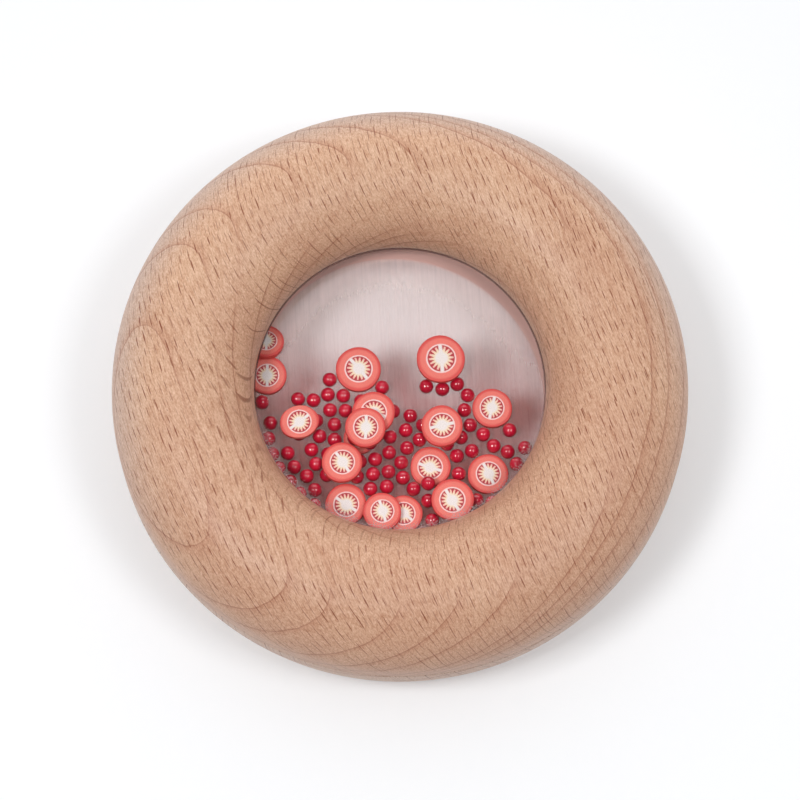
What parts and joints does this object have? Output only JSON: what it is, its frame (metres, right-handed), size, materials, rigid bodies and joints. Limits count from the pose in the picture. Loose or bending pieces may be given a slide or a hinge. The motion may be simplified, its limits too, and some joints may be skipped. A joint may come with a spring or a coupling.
{
  "type": "ring rattle",
  "caption": "Round-section wooden ring rattle with a clear window capsule in its opening, filled with loose round beads and patterned clay slices that rattle.",
  "frame": {"origin": "centre of the circle on which the ring lies, on its back face", "axes": "+Z along the ring's axis from its back face to its front face, +Y towards the empty side of the capsule at rest"},
  "size_m": [0.1, 0.1, 0.031],
  "materials": {
    "beech": "fine sanded, bare",
    "clear_plastic": "clear, polished",
    "red_bead": "glossy",
    "coral_clay": "satin baked clay with a sliced-cane pattern"
  },
  "bodies": {
    "ring": {"ring_back": "beech", "ring_front": "beech", "back_window": "clear_plastic", "capsule_wall": "clear_plastic", "front_window": "clear_plastic"},
    "beads": {"beads": "red_bead"},
    "slice_01": {"slice_01": "coral_clay"},
    "slice_02": {"slice_02": "coral_clay"},
    "slice_03": {"slice_03": "coral_clay"},
    "slice_04": {"slice_04": "coral_clay"},
    "slice_05": {"slice_05": "coral_clay"},
    "slice_06": {"slice_06": "coral_clay"},
    "slice_07": {"slice_07": "coral_clay"},
    "slice_08": {"slice_08": "coral_clay"},
    "slice_09": {"slice_09": "coral_clay"},
    "slice_10": {"slice_10": "coral_clay"},
    "slice_11": {"slice_11": "coral_clay"},
    "slice_12": {"slice_12": "coral_clay"},
    "slice_13": {"slice_13": "coral_clay"},
    "slice_14": {"slice_14": "coral_clay"},
    "slice_15": {"slice_15": "coral_clay"},
    "slice_16": {"slice_16": "coral_clay"},
    "slice_17": {"slice_17": "coral_clay"}
  },
  "joints": [
    {"name": "fill_swirl", "type": "hinge", "parent": "ring", "child": "beads", "pos_m": [0, 0, 0.0155], "axis": [0, 0, 1], "continuous": true},
    {"name": "slice_01_hop", "type": "slide", "parent": "beads", "child": "slice_01", "axis": [0, 0, 1], "range_m": [0, 0.003]},
    {"name": "slice_02_spin", "type": "hinge", "parent": "beads", "child": "slice_02", "pos_m": [-0.0232, 0.0038, 0.0138], "axis": [0, 0, 1], "continuous": true},
    {"name": "slice_03_spin", "type": "hinge", "parent": "beads", "child": "slice_03", "pos_m": [-0.0073, 0.0049, 0.0138], "axis": [0, 0, 1], "continuous": true},
    {"name": "slice_04_hop", "type": "slide", "parent": "beads", "child": "slice_04", "axis": [0, 0, 1], "range_m": [0, 0.0018]},
    {"name": "slice_05_spin", "type": "hinge", "parent": "beads", "child": "slice_05", "pos_m": [0.0161, -0.00215, 0.0138], "axis": [0, 0, 1], "continuous": true},
    {"name": "slice_06_hop", "type": "slide", "parent": "beads", "child": "slice_06", "axis": [0, 0, 1], "range_m": [0, 0.0018]},
    {"name": "slice_07_spin", "type": "hinge", "parent": "beads", "child": "slice_07", "pos_m": [-0.0046, -0.0036, 0.0138], "axis": [0, 0, 1], "continuous": true},
    {"name": "slice_08_hop", "type": "slide", "parent": "beads", "child": "slice_08", "axis": [0, 0, 1], "range_m": [0, 0.0006]},
    {"name": "slice_09_hop", "type": "slide", "parent": "beads", "child": "slice_09", "axis": [0, 0, 1], "range_m": [0, 0.0018]},
    {"name": "slice_10_hop", "type": "slide", "parent": "beads", "child": "slice_10", "axis": [0, 0, 1], "range_m": [0, 0.0018]},
    {"name": "slice_11_spin", "type": "hinge", "parent": "beads", "child": "slice_11", "pos_m": [0.0053, -0.0127, 0.0138], "axis": [0, 0, 1], "continuous": true},
    {"name": "slice_12_spin", "type": "hinge", "parent": "beads", "child": "slice_12", "pos_m": [0.0153, -0.01395, 0.0138], "axis": [0, 0, 1], "continuous": true},
    {"name": "slice_13_spin", "type": "hinge", "parent": "beads", "child": "slice_13", "pos_m": [-0.0094, -0.01935, 0.0138], "axis": [0, 0, 1], "continuous": true},
    {"name": "slice_14_hop", "type": "slide", "parent": "beads", "child": "slice_14", "axis": [0, 0, 1], "range_m": [0, 0.0018]},
    {"name": "slice_15_spin", "type": "hinge", "parent": "beads", "child": "slice_15", "pos_m": [0.0006, -0.0211, 0.0138], "axis": [0, 0, 1], "continuous": true},
    {"name": "slice_16_hop", "type": "slide", "parent": "beads", "child": "slice_16", "axis": [0, 0, 1], "range_m": [0, 0.0018]},
    {"name": "slice_17_spin", "type": "hinge", "parent": "beads", "child": "slice_17", "pos_m": [-0.0071, -0.0076, 0.0138], "axis": [0, 0, 1], "continuous": true}
  ]
}
